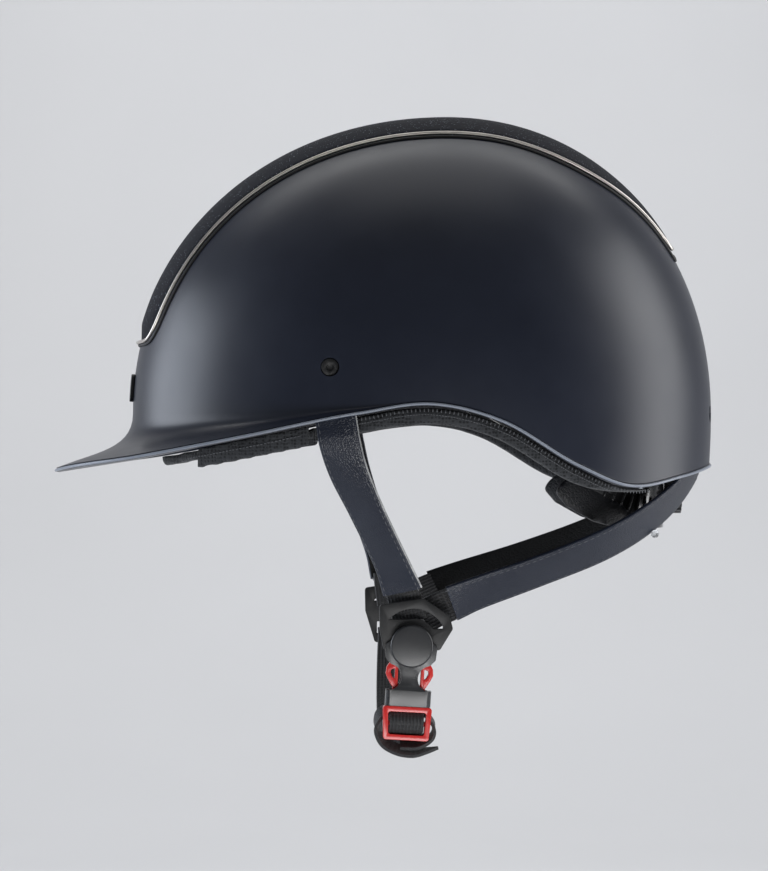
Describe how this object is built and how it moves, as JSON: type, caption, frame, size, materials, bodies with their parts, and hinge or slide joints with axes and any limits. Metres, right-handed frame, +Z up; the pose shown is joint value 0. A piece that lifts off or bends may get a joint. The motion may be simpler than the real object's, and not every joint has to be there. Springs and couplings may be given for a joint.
{
  "type": "equestrian riding helmet",
  "caption": "Riding helmet: peaked satin shell with a raised crown panel, padded liner, leather harness with side-release buckle and dial-adjusted nape cradle.",
  "frame": {"origin": "on the symmetry plane, in the plane where the head enters, over the middle of the head", "axes": "the wearer faces -X, +Z is up, the buckle hangs at -Y, the wearer's left"},
  "size_m": [0.3122, 0.216, 0.2988],
  "materials": {
    "shell_navy": "satin navy ABS shell",
    "panel_fabric": "navy fabric panel with fine glitter",
    "trim_metal": "thin champagne metal bead",
    "gasket_rubber": "black gasket",
    "black_plastic": "fine textured black moulding",
    "gloss_black": "gloss black moulding",
    "foam": "dark expanded foam",
    "mesh_lining": "dark grey spacer mesh",
    "navy_leather": "fine-grained navy leather",
    "nape_leather": "soft dark leather",
    "webbing": "ribbed black webbing",
    "red_plastic": "red acetal moulding",
    "clear_plastic": "clear stud"
  },
  "bodies": {
    "helmet": {"outer_shell": "shell_navy", "crown_panel": "panel_fabric", "crown_trim": "trim_metal", "crown_gasket": "gasket_rubber", "front_badge": "black_plastic", "impact_liner": "foam", "crown_pad": "mesh_lining", "brow_pad": "mesh_lining", "brow_roll": "mesh_lining", "side_roll_left": "mesh_lining", "side_roll_right": "mesh_lining", "temple_pad_left": "mesh_lining", "temple_pad_right": "mesh_lining", "side_pad_left": "mesh_lining", "side_pad_right": "mesh_lining", "front_strap_left": "navy_leather", "front_strap_right": "navy_leather", "rear_strap_left": "navy_leather", "rear_strap_right": "navy_leather", "front_webbing_left": "webbing", "front_webbing_right": "webbing", "rear_webbing_left": "webbing", "rear_webbing_right": "webbing", "side_rivets": "black_plastic", "rear_rivets": "black_plastic", "strap_studs": "clear_plastic", "divider_left": "black_plastic", "divider_right": "black_plastic", "fit_band_left": "black_plastic", "fit_band_right": "black_plastic"},
    "buckle": {"buckle_socket": "black_plastic", "pivot_cap": "black_plastic"},
    "tongue": {"buckle_tongue": "red_plastic", "webbing_loop": "webbing", "chin_webbing": "webbing"},
    "front_ear": {"prong_front": "red_plastic"},
    "rear_ear": {"prong_rear": "red_plastic"},
    "cradle": {"nape_cradle": "gloss_black", "nape_pad": "nape_leather"},
    "dial": {"fit_dial": "gloss_black"}
  },
  "joints": [
    {"name": "buckle_swing", "type": "hinge", "parent": "helmet", "child": "buckle", "pos_m": [-0.0054, -0.076, -0.0836], "axis": [-0.0508, 0.9987, 0], "range_deg": [-20, 20]},
    {"name": "tongue_slide", "type": "slide", "parent": "buckle", "child": "tongue", "axis": [-0.061, -0.0031, -0.9981], "range_m": [0, 0.007]},
    {"name": "front_ear_squeeze", "type": "hinge", "parent": "tongue", "child": "front_ear", "pos_m": [-0.01342, -0.07445, -0.11016], "axis": [-0.0508, 0.9987, 0], "range_deg": [0, 15]},
    {"name": "rear_ear_squeeze", "type": "hinge", "parent": "tongue", "child": "rear_ear", "pos_m": [-0.00086, -0.07382, -0.11093], "axis": [-0.0508, 0.9987, 0], "range_deg": [-15, 0]},
    {"name": "cradle_fit", "type": "slide", "parent": "helmet", "child": "cradle", "axis": [-1, 0, 0], "range_m": [0, 0.008]},
    {"name": "dial_turn", "type": "hinge", "parent": "cradle", "child": "dial", "pos_m": [0.12, 0, -0.017], "axis": [1, 0, 0], "range_deg": [0, 181]}
  ],
  "couplings": [
    {"joint": "front_ear_squeeze", "follows": "tongue_slide", "rad_per_m": 36},
    {"joint": "rear_ear_squeeze", "follows": "tongue_slide", "rad_per_m": -36},
    {"joint": "dial_turn", "follows": "cradle_fit", "rad_per_m": 392.7}
  ]
}
